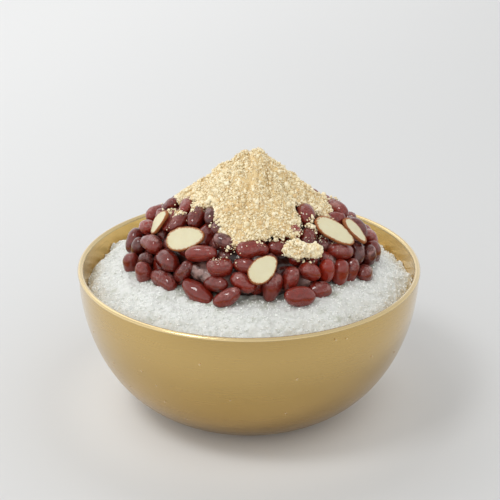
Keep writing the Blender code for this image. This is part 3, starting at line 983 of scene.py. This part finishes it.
def settle(centres, axes, lengths, widths, out, hold):
    """Push crowded beans apart, each taken as three balls in a row, and below the slices and the clump.

    A bean shifts by the mean of its balls' pushes, and swings by the difference between its ends' pushes.
    What it holds against keeps it in place: hold is 1 for a bean that may not move.
    """
    beans = len(centres)
    owner = np.repeat(np.arange(beans), 3)
    same = owner[:, None] == owner[None]
    radii = np.repeat(widths * BALL_SHARE, 3)
    start = centres.copy()
    free = (1 - hold)[:, None]
    for _ in range(SETTLE_ROUNDS):
        balls = bean_balls(centres, axes, lengths, widths)
        apart = balls[:, None] - balls[None]
        distance = np.linalg.norm(apart, axis=-1) + 1e-9
        overlap = np.clip(radii[:, None] + radii[None] - distance, 0, None) * ~same
        push = (apart * (overlap / distance)[..., None]).sum(axis=1).reshape(beans, 3, 3) * 0.35
        swing = (push[:, 2] - push[:, 0]) / (lengths - widths * 0.5)[:, None]
        axes = unit(axes + swing * free)
        centres = centres + push.sum(axis=1) * 0.5 * free
        rise = ((centres - start) * out).sum(axis=1, keepdims=True)
        centres = centres - out * (rise - np.clip(rise, -SINK, RISE))
        balls = bean_balls(centres, axes, lengths, widths)
        pressed = under_almonds(balls, radii + SPACE_BELOW, SPACE_ROUND)
        centres = centres + pressed.reshape(beans, 3, 3).mean(axis=1) * 0.5
    balls = bean_balls(centres, axes, lengths, widths, 5)
    pressed = under_almonds(balls, np.repeat(widths * 0.55, 5)).reshape(beans, 5, 3)
    most = np.linalg.norm(pressed, axis=-1).argmax(axis=1)
    return centres + pressed[np.arange(beans), most], axes


def golden_places(number, rng, spread):
    """Directions and shares of an even spiral over the dome, each a little off its place."""
    k = np.arange(number)
    share = np.sqrt((k + 0.5) / number)
    azimuth = k * GOLDEN + rng.uniform(-spread, spread, number) / np.clip(share, 0.2, 1)
    return azimuth % TURN, np.clip(share + rng.uniform(-spread, spread, number) * 0.3, 0.02, 1.04)


# Beans on the spiral that fills the outside and on the one below it, how much deeper the latter lies, and
# the beans' sizes in millimetres.
FILLING, DEEPER = 200, 150
DEEPER_BY = 5.6 * MM
BEAN_LENGTHS, BEAN_WIDTHS = (11.5, 14.5), (7.6, 9.2)
# How firmly the laid beans, the filling ones and the deeper ones stay where they are.
HOLD = (0.75, 0.3, 0.1)


def heap_of_beans():
    """Middles, long axes, outward directions, lengths and widths of all beans, and the layer of each.

    The laid beans come first, then those that fill the rest of the outside, then a layer under them that
    shows in the gaps.
    """
    depth = bpy.context.scene.bingsu_beans.depth
    rng = np.random.default_rng(23)
    azimuth, share, turn, length, width = np.array(LAID_BEANS).T
    laid, level, up, out = heap_frame(np.radians(azimuth), share, depth)

    fill_azimuth, fill_share = golden_places(FILLING, rng, 0.05)
    lower = np.clip(np.sin(fill_azimuth) * 2 + 0.8, 0, 1) * np.clip(fill_share * 5 - 2.8, 0, 1)
    filled = heap_frame(fill_azimuth, fill_share, depth + (0.9 + 4.4 * lower) * MM)
    nearest = np.linalg.norm(filled[0][:, None] - laid[None], axis=-1).min(axis=1)
    front = filled[0][:, 1] < -0.3 * np.abs(filled[0][:, 0])
    clear = powder_share(filled[0]) > np.where(front, 1.04, 1.06)
    kept = clear & (nearest > np.where(front, 8.4, 7.4) * MM)
    filled = [part[kept] for part in filled]

    deep_azimuth, deep_share = golden_places(DEEPER, rng, 0.05)
    deeper = heap_frame(deep_azimuth, np.clip(deep_share, 0, 0.98), depth + DEEPER_BY)
    kept = powder_share(deeper[0]) > 0.75
    deeper = [part[kept] for part in deeper]
    centres, level, up, out = (np.concatenate(parts) for parts in zip((laid, level, up, out), filled, deeper))
    more = len(filled[0]) + len(deeper[0])
    turns = np.radians(np.concatenate([turn, rng.uniform(0, 180, more)]))[:, None]
    tilt = np.concatenate([rng.uniform(-0.10, 0.10, len(laid)), rng.uniform(-0.35, 0.35, more)])[:, None]
    axes = unit(level * np.cos(turns) + up * np.sin(turns) + out * tilt)
    lengths = np.concatenate([length * 1.02, rng.uniform(*BEAN_LENGTHS, more)]) * MM
    widths = np.concatenate([width * 1.10, rng.uniform(*BEAN_WIDTHS, more)]) * MM
    numbers = [len(laid), len(filled[0]), len(deeper[0])]
    centres, axes = settle(centres, axes, lengths, widths, out, np.repeat(HOLD, numbers))
    return centres, axes, out, lengths, widths, np.repeat([0, 1, 2], numbers)


# Unevenness of a bean's skin, as (size, height).
BEAN_RELIEF = ((6 * MM, 0.42 * MM), (3 * MM, 0.25 * MM), (1.8 * MM, 0.14 * MM))


def bean_surfaces(centres, axes, out, lengths, widths, rng, rings, around):
    """Beans: x = -L/2 cos p with rings of radius W/2 sin(p)^0.78, a little flattened, bent and lumpy.

    The flatter side, which carries the eye, is turned at random round the long axis.
    """
    count = len(centres)
    p = np.pi * (np.arange(rings) + 1) / (rings + 1)
    turn = circle(around)
    x = np.concatenate([np.repeat(-np.cos(p), around) * 0.5, [-0.5, 0.5]])
    ring = np.concatenate([np.repeat(0.5 * np.sin(p) ** 0.78, around), [0, 0]])
    turn = np.concatenate([np.tile(turn, rings), [0, 0]])
    fat = rng.uniform(0.94, 1.06, (count, 1))
    bend = rng.uniform(0.02, 0.13, (count, 1))
    uneven = rng.uniform(-0.12, 0.12, (count, 1))
    girth = widths[:, None] * (1 + uneven * 2 * x)
    flat = 1 - 0.06 * np.clip(np.cos(turn), 0, 1) ** 2
    y = girth * ring * np.cos(turn) * flat + bend * widths[:, None] * (2 * x) ** 2
    z = girth * ring * np.sin(turn) * fat
    local = np.stack([lengths[:, None] * x, y, z], axis=-1)
    side = unit(np.cross(out, axes))
    top = np.cross(axes, side)
    roll = rng.uniform(0, TURN, (count, 1))
    frames = np.stack([axes, side * np.cos(roll) + top * np.sin(roll),
                       top * np.cos(roll) - side * np.sin(roll)], axis=-1)
    points = placed(frames, local, centres)
    return points + unit(points - centres[:, None]) * relief(points, BEAN_RELIEF, 70)[..., None]


class BINGSU_OT_beans(bpy.types.Operator):
    """Make the sweet red beans: whole ones laid and filled in over the heap, and plainer ones below them"""
    bl_idname = "bingsu.beans"
    bl_label = "Red beans"

    def execute(self, context):
        centres, axes, out, lengths, widths, layer = heap_of_beans()
        material = bean_finish(context.scene.bingsu_beans)
        rng = np.random.default_rng(29)
        outside = layer < 2
        count = len(centres)
        shade = np.clip(rng.normal(0.5, 0.27, count), 0, 1)
        syrup_and_sheen = np.clip(rng.normal(0.50, 0.40, count), 0, 1)
        wrinkle = np.where(rng.uniform(size=count) < 0.5, rng.uniform(0.7, 1.5, count), 0.3)
        for name, chosen, rings, around in (("sweet_beans", outside, 22, 20),
                                            ("sweet_beans_below", ~outside, 7, 8)):
            points = bean_surfaces(centres[chosen], axes[chosen], out[chosen], lengths[chosen],
                                   widths[chosen], rng, rings, around)
            # Only the upper side of each bean carries the syrup and its painted sheen.
            upward = np.clip((points - centres[chosen][:, None])[..., 2] / (3.5 * MM), 0, 1)
            tones = {"shade": per_copy(shade[chosen], points), "wrinkle": per_copy(wrinkle[chosen], points),
                     "syrup_and_sheen": per_copy(syrup_and_sheen[chosen], points) * upward.ravel()}
            faces = repeated(ring_faces(rings, around), chosen.sum(), rings * around + 2)
            add_piece(name, points, faces, material, "beans", replaces=("red_beans",), **tones)
        return {"FINISHED"}


def above_beans(heap, points):
    """For each point, the distance to the nearest bean's skin, below 0 inside it."""
    centres, axes, _, lengths, widths, _ = heap
    balls = bean_balls(centres, axes, lengths, widths, 5)
    radii = np.repeat(widths * BALL_SHARE, 5)
    nearest = np.full(len(points), 1.0)
    for k in range(0, len(balls), 60):
        away = np.linalg.norm(points[:, None] - balls[None, k:k + 60], axis=-1) - radii[None, k:k + 60]
        nearest = np.minimum(nearest, away.min(axis=1))
    return nearest


# Where the syrup stands high between the beans: direction, share of the way to the foot, size in millimetres.
POOLS = (
    (-115, 0.98, 6), (-106, 0.99, 5), (-59, 0.995, 6), (-124, 0.96, 5), (-40, 0.96, 5), (-134, 0.86, 4),
    (-87, 0.86, 4), (-161, 0.95, 4), (-75, 1.05, 5), (5, 0.95, 7), (40, 0.98, 8), (85, 0.97, 8),
    (125, 0.95, 8), (165, 0.97, 6),
)
# Unevenness of the syrup, as (size, height).
SYRUP_RELIEF = ((11 * MM, 0.9 * MM), (4 * MM, 0.5 * MM))
# The syrup climbs the skins a little: how far, and over what distance from them.
SYRUP_CLIMB, CLIMB_REACH = 0.7 * MM, 0.6 * MM
# The level of the syrup body's flat underside.
SYRUP_FOOT = RIM + 1.5 * MM


class BINGSU_OT_syrup(bpy.types.Operator):
    """Make the syrup and ground beans in the heap: a closed body at the depth of the beans' middles"""
    bl_idname = "bingsu.syrup"
    bl_label = "Syrup"

    def execute(self, context):
        settings = context.scene.bingsu_beans
        rings, around = 130, 380
        share = np.linspace(1.0, 0.0, rings + 1)[:-1, None]
        azimuth = circle(around)
        depth = settings.depth - 0.2 * MM
        surface = heap_surface(azimuth, share ** 0.8, depth)
        out = normals_of(surface)
        place = heap_surface(azimuth, share ** 0.8)
        pool = 0.0
        for where, how_far, size in POOLS:
            middle = heap_surface(np.radians(where), how_far)
            pool = pool + np.exp(-(np.linalg.norm(place - middle, axis=-1) / (size * MM)) ** 2)
        pool = np.clip(pool, 0, 1)
        level = relief(surface, SYRUP_RELIEF, 81) + (4.2 * pool - 3.6) * MM
        level = level - 2.0 * MM * (1 - pool) * np.clip((share - 0.90) / 0.08, 0, 1)
        surface = surface + out * level[..., None]
        gap = above_beans(heap_of_beans(), surface.reshape(-1, 3))
        climb = SYRUP_CLIMB * np.exp(-np.clip(gap, 0, None) / CLIMB_REACH)
        surface = surface + out * climb.reshape(rings, around, 1)
        foot = heap_surface(azimuth[None], np.array([[0.93]]), depth)
        foot[..., 2] = SYRUP_FOOT
        surface = np.concatenate([foot, surface])
        pool = np.concatenate([np.zeros((1, around)), pool])
        points = with_poles(surface, (settings.centre_x, 0, SYRUP_FOOT), surface[-1].mean(axis=0))
        add_piece("bean_syrup", points, ring_faces(rings + 1, around), syrup_finish(settings), "beans",
                  replaces=("red_beans",), pool=with_ends(pool))
        return {"FINISHED"}


def onto_beans(heap, places, out):
    """Points dropped inwards onto the beans, each on the outermost ball on its way; misses are left out."""
    centres, axes, _, lengths, widths, _ = heap
    balls = bean_balls(centres, axes, lengths, widths, 7)
    radii = np.repeat(widths * BALL_SHARE, 7)
    away = places[:, None] - balls[None]
    along = (away * out[:, None]).sum(axis=-1)
    inside = along ** 2 - (away ** 2).sum(axis=-1) + radii[None] ** 2
    reach = np.where(inside > 0, -along + np.sqrt(np.clip(inside, 0, None)), -1.0).max(axis=1)
    return (places + out * reach[:, None])[reach > -4 * MM]


# ---- soybean powder ----

# Unevenness of the mound's outline and of its top, as (size, height), and its lumps, as (size, share of a
# round lump's height).
POWDER_EDGE = ((13 * MM, 1.3 * MM), (5 * MM, 1.8 * MM), (2 * MM, 1.1 * MM))
POWDER_RELIEF = ((16 * MM, 1.6 * MM), (8 * MM, 2.0 * MM))
POWDER_LUMPS = ((9 * MM, 0.50), (4.5 * MM, 0.60), (2.2 * MM, 0.65))
# The shoulders sink on the right and on the left: how far, from what radius, and over what width. The whole
# top is then lowered, since its lumps stand above it.
SAG_RIGHT, SAG_LEFT, SAG_FROM, SAG_WIDTH = 4.0 * MM, 1.5 * MM, 23 * MM, 5 * MM
LUMPS_DROP = 5.8 * MM


def powder_share(points):
    """Share of the way from the mound's middle to its foot, of places given by x and y."""
    settings = bpy.context.scene.bingsu_powder
    x, y = points[..., 0] - settings.centre_x, points[..., 1] - settings.centre_y
    return np.hypot(x, y) / powder_reach(np.arctan2(y, x))


def powder_reach(azimuth):
    """Reach of the mound: a circle with a ragged edge, cut back where beans stand in its foot."""
    settings = bpy.context.scene.bingsu_powder
    reach = settings.reach + relief(spoke(azimuth) * settings.reach, POWDER_EDGE, 91)
    for middle, half_width, depth in POWDER_NOTCHES:
        off = np.degrees(np.angle(np.exp(1j * (azimuth - math.radians(middle))))) / half_width
        reach = reach - depth * MM * np.exp(-off ** 2)
    return reach


def powder_surface(azimuth, share):
    """Top and underside of the mound, a share of the way from its middle to its foot.

    The top is a cone with a rounded tip, apex - slope (sqrt(r^2 + tip^2) - tip), gentler lower down, with
    relief and lumps; it comes down on the bean heap in a steep front that is never thinner than the rim.
    """
    settings = bpy.context.scene.bingsu_powder
    azimuth, share = np.broadcast_arrays(azimuth, share)
    reach = powder_reach(azimuth)
    x = settings.centre_x + reach * share * np.cos(azimuth)
    y = settings.centre_y + reach * share * np.sin(azimuth)
    place = np.stack([x, y, 0 * x], axis=-1)
    beans = bpy.context.scene.bingsu_beans
    _, bean_share = heap_place(place)
    under = RIM + beans.foot_level + dome_level(bean_share, beans.rise) - settings.sink
    radius = np.hypot((x - settings.centre_x) / 1.04, y - settings.centre_y)
    outwards = np.sqrt(radius ** 2 + settings.tip ** 2) - settings.tip
    lean = 1 + settings.lean * np.clip(np.cos(azimuth), 0, 1)
    cone = RIM + settings.apex - settings.slope * lean * outwards
    cone = cone + settings.ease * np.clip(outwards - settings.ease_from, 0, None)
    right, left = (np.clip(1.4 * np.cos(azimuth - math.radians(side)), 0, 1) for side in (30, 180))
    sag = (SAG_RIGHT * right + SAG_LEFT * left) * np.clip((radius - SAG_FROM) / SAG_WIDTH, 0, 1)
    under = under - sag
    cone = cone - sag - LUMPS_DROP + relief(place, POWDER_RELIEF, 95)
    front = settings.rim + settings.front * reach * (1 - share)
    thick = np.maximum(np.minimum(cone - under, front), settings.rim)
    lumps = sum(part * pebbles(place, size, 97 + k) for k, (size, part) in enumerate(POWDER_LUMPS))
    thick = thick + lumps * np.clip(1.15 - share, 0, 0.5) * 2
    top = place + (under + thick)[..., None] * (0, 0, 1)
    return top, place + under[..., None] * (0, 0, 1)


def crumbs(name, centres, sizes, rng, material, rings=2, around=5, rough=0.25):
    """Loose lumps, each with its own tone."""
    points, faces = scatter_lumps(centres, sizes, rng, rings, around, rough)
    shade = per_copy(rng.uniform(0, 1, len(centres)), points)
    add_piece(name, points, faces, material, "powder", smooth=rings > 2, shade=shade)


class BINGSU_OT_powder(bpy.types.Operator):
    """Make the powder mound: a closed body with relief, small clods, and loose grains over it"""
    bl_idname = "bingsu.powder"
    bl_label = "Soybean powder"

    def execute(self, context):
        settings = context.scene.bingsu_powder
        rings, around = 190, 450
        azimuth = circle(around)
        share = np.linspace(1, 0, rings + 1)[:-1, None]
        top, _ = powder_surface(azimuth, share)
        _, under = powder_surface(azimuth, np.array([[0.4], [0.8], [0.985]]))
        surface = np.concatenate([under, top])
        points = with_poles(surface, under[0].mean(axis=0), top[-1].mean(axis=0))
        ground = powder_finish("powder_ground", settings, False)
        grainy = powder_finish("powder_grain", settings, True)
        add_piece("powder_heap", points, ring_faces(len(surface), around), ground, "powder",
                  replaces=("powder_mound",))

        rng = np.random.default_rng(41)
        number = settings.crumbs
        centres, _ = powder_surface(rng.uniform(0, TURN, number), rng.uniform(0, 1.01, number) ** 0.45)
        sizes = uneven_sizes(rng, number, 0.26, 0.15, 0.5)
        centres[:, 2] += sizes * rng.uniform(0.2, 1.2, number)
        crumbs("powder_crumbs", centres, sizes, rng, grainy)

        number = settings.spill
        centres, _ = powder_surface(rng.uniform(0, TURN, number), rng.normal(1.0, 0.035, number))
        sizes = uneven_sizes(rng, number, 0.25, 0.20, 0.9)
        centres[:, 2] += rng.uniform(-0.3, 0.8, number) * MM
        crumbs("powder_spill", centres, sizes, rng, grainy)

        number = settings.grains
        centres, _ = powder_surface(rng.uniform(0, TURN, number), np.sqrt(rng.uniform(0, 1.03, number)))
        sizes = rng.uniform(0.18, 0.38, number) * MM
        centres[:, 2] += sizes + rng.uniform(0.0, 0.8, number) * MM
        crumbs("powder_grains", centres, sizes, rng, grainy, rings=1, around=4, rough=0.3)

        number = settings.clods
        centres, _ = powder_surface(rng.uniform(0, TURN, number), rng.uniform(0, 1.0, number) ** 0.4)
        sizes = uneven_sizes(rng, number, 0.50, 0.28, 1.1)
        centres[:, 2] += sizes * rng.uniform(-0.4, 0.5, number)
        crumbs("powder_clods", centres, sizes, rng, grainy, rings=4, around=7, rough=0.28)
        return {"FINISHED"}


# The fallen clump's lobes: middle and half sizes along its three axes, in millimetres. The body fills
# CLUMP_CORE of each; loose crumbs make the rest. Then the unevenness of the body and of the crumbs over it.
CLUMP_LOBES = (((-3.6, -1.2, 0.1), (5.9, 4.5, 2.4)), ((5.4, -2.6, -0.4), (3.9, 3.2, 1.9)),
               ((1.6, -2.3, -0.2), (3.6, 3.0, 1.7)))
CLUMP_CORE = 0.76
CLUMP_RELIEF = ((4 * MM, 0.6 * MM), (1.8 * MM, 0.5 * MM))
CLUMP_CRUMBS = ((5 * MM, 0.9 * MM), (2.5 * MM, 0.9 * MM))


class BINGSU_OT_fallen_powder(bpy.types.Operator):
    """Make what has fallen from the mound: a clump of crumbs, single crumbs, and grains on the beans"""
    bl_idname = "bingsu.fallen_powder"
    bl_label = "Fallen powder"

    def execute(self, context):
        ground = bpy.data.materials["powder_ground"]
        grainy = bpy.data.materials["powder_grain"]
        rng = np.random.default_rng(53)
        node, direction, turn = CLUMP_POSE[:3]
        axes, place = facing(direction, turn), middle_of(node)
        template, faces = ball(22, 34)
        bodies, centres, sizes = [], [], []
        for middle, half in CLUMP_LOBES:
            middle = np.array(middle) * MM
            lobe = template * half * MM * CLUMP_CORE
            lobe += template * relief(lobe + 0.3, CLUMP_RELIEF, 57)[:, None]
            bodies.append((lobe + middle) @ axes + place)
            number = int(150 * half[0])
            away = unit(rng.normal(size=(number, 3)) * (1, 1, 0.8))
            away = away * half * MM * rng.normal(0.92, 0.075, (number, 1)).clip(0.75, 1.12)
            away += away * 220 * relief(away, CLUMP_CRUMBS, 58)[:, None]
            centres.append((away + middle) @ axes + place)
            sizes.append(uneven_sizes(rng, number, 0.30, 0.27, 0.9))
        add_piece("fallen_clump", np.stack(bodies), repeated(faces, len(bodies), len(template)), ground,
                  "powder", replaces=(node,))
        heap = heap_of_beans()
        for patch in FALLEN_CRUMBS:
            found = self.lying(heap, *patch, rng)
            found[:, 2] += rng.uniform(0, 0.9, len(found)) * MM
            centres.append(found)
            sizes.append(uneven_sizes(rng, len(found), 0.3, 0.25, 1.0))
        crumbs("fallen_crumbs", np.concatenate(centres), np.concatenate(sizes), rng, grainy,
               rings=2, around=5, rough=0.3)
        grains = np.concatenate([self.lying(heap, *patch, rng) for patch in SCATTERED_GRAINS])
        sizes = uneven_sizes(rng, len(grains), 0.12, 0.15, 0.5)
        crumbs("scattered_grains", grains, sizes, rng, grainy, rings=1, around=4, rough=0.3)
        return {"FINISHED"}

    def lying(self, heap, azimuth, share, number, spread, rng):
        """Places on the beans, spread about one direction and share of the way to the foot."""
        point, level, up, out = heap_frame(math.radians(azimuth), share)
        aside = rng.normal(0, spread * MM, (number, 2))
        places = point + level * aside[:, :1] + up * aside[:, 1:]
        return onto_beans(heap, places, np.broadcast_to(out, places.shape))


# ---- table, light and camera ----

# Half the table's side, in metres, and where each lamp stands and how large it is.
TABLE_REACH = 6.0
KEY_PLACE, KEY_SIZE = (-0.9, 1.4, 1.8), 1.3
GLINT_PLACE, GLINT_SIZE = (-0.60, -0.45, 1.25), 0.36


class BINGSU_OT_stage(bpy.types.Operator):
    """Make the table, the soft light and the camera"""
    bl_idname = "bingsu.stage"
    bl_label = "Stage"

    def execute(self, context):
        settings = context.scene.bingsu_stage
        corners = TABLE_REACH * np.array([(-1, -1, 0), (1, -1, 0), (1, 1, 0), (-1, 1, 0)])
        mesh = make_mesh("table", corners, [np.array([[0, 1, 2, 3]])])
        mesh.materials.append(table_finish(settings))
        table = bpy.data.objects.new("table", mesh)
        context.scene.collection.objects.link(table)

        self.lamp("key_light", KEY_PLACE, KEY_SIZE, settings.key, (1.0, 0.995, 0.985))
        self.lamp("glint_light", GLINT_PLACE, GLINT_SIZE, settings.glint, (1.0, 1.0, 1.0))

        world = bpy.data.worlds.new("sky")
        world.use_nodes = True
        sky = Nodes(world.node_tree)
        towards = sky.add("ShaderNodeTexCoord", out="Generated")
        bright = sky.add("ShaderNodeVectorMath", {"operation": "DOT_PRODUCT"}, out="Value", _0=towards,
                         _1=settings.bright_side)
        background = world.node_tree.nodes["Background"]
        connect(sky.tree, background.inputs["Color"],
                sky.mix(settings.sky_high, settings.sky_low, sky.step(bright, -0.85, 0.3)))
        background.inputs["Strength"].default_value = settings.sky
        context.scene.world = world

        camera = bpy.data.cameras.new("camera")
        camera.lens = settings.lens
        camera.clip_start = 0.01
        item = bpy.data.objects.new("camera", camera)
        elevation = settings.elevation
        item.location = (0.0005, -settings.distance * math.cos(elevation),
                         settings.look_at + settings.distance * math.sin(elevation))
        item.rotation_euler = (math.radians(90) - elevation, 0, 0)
        context.scene.collection.objects.link(item)
        context.scene.camera = item
        context.scene.view_settings.view_transform = "Standard"
        return {"FINISHED"}

    def lamp(self, name, place, size, power, tint):
        """A square soft light that looks at the bowl."""
        light = bpy.data.lights.new(name, "AREA")
        light.size = size
        light.energy = power
        light.color = tint
        item = bpy.data.objects.new(name, light)
        item.location = place
        aim = Vector(place) - Vector((0, 0, RIM))
        item.rotation_euler = aim.to_track_quat("Z", "Y").to_euler()
        bpy.context.scene.collection.objects.link(item)


# ---- add-on ----

GROUPS = {
    "bingsu_bowl": BingsuBowl,
    "bingsu_ice": BingsuIce,
    "bingsu_beans": BingsuBeans,
    "bingsu_powder": BingsuPowder,
    "bingsu_almonds": BingsuAlmonds,
    "bingsu_stage": BingsuStage,
}
OPERATORS = (BINGSU_OT_bowl, BINGSU_OT_droplets, BINGSU_OT_ice, BINGSU_OT_beans, BINGSU_OT_syrup,
             BINGSU_OT_powder, BINGSU_OT_fallen_powder, BINGSU_OT_almonds, BINGSU_OT_stage)


class BINGSU_PT_panel(bpy.types.Panel):
    """Lists the pieces of the bingsu and their settings"""
    bl_idname = "BINGSU_PT_panel"
    bl_label = "Bingsu"
    bl_space_type = "VIEW_3D"
    bl_region_type = "UI"
    bl_category = "Bingsu"

    def draw(self, context):
        for operator in OPERATORS:
            self.layout.operator(operator.bl_idname)
        for name, group in GROUPS.items():
            box = self.layout.box()
            for setting in group.__annotations__:
                box.prop(getattr(context.scene, name), setting)


def register():
    for group in (*GROUPS.values(), *OPERATORS, BINGSU_PT_panel):
        bpy.utils.register_class(group)
    for name, group in GROUPS.items():
        setattr(bpy.types.Scene, name, PointerProperty(type=group))


def unregister():
    for name in GROUPS:
        delattr(bpy.types.Scene, name)
    for group in (BINGSU_PT_panel, *reversed(OPERATORS), *reversed(GROUPS.values())):
        bpy.utils.unregister_class(group)


def main():
    register()
    for operator in OPERATORS:
        folder, name = operator.bl_idname.split(".")
        getattr(getattr(bpy.ops, folder), name)()


if __name__ == "__main__":
    main()
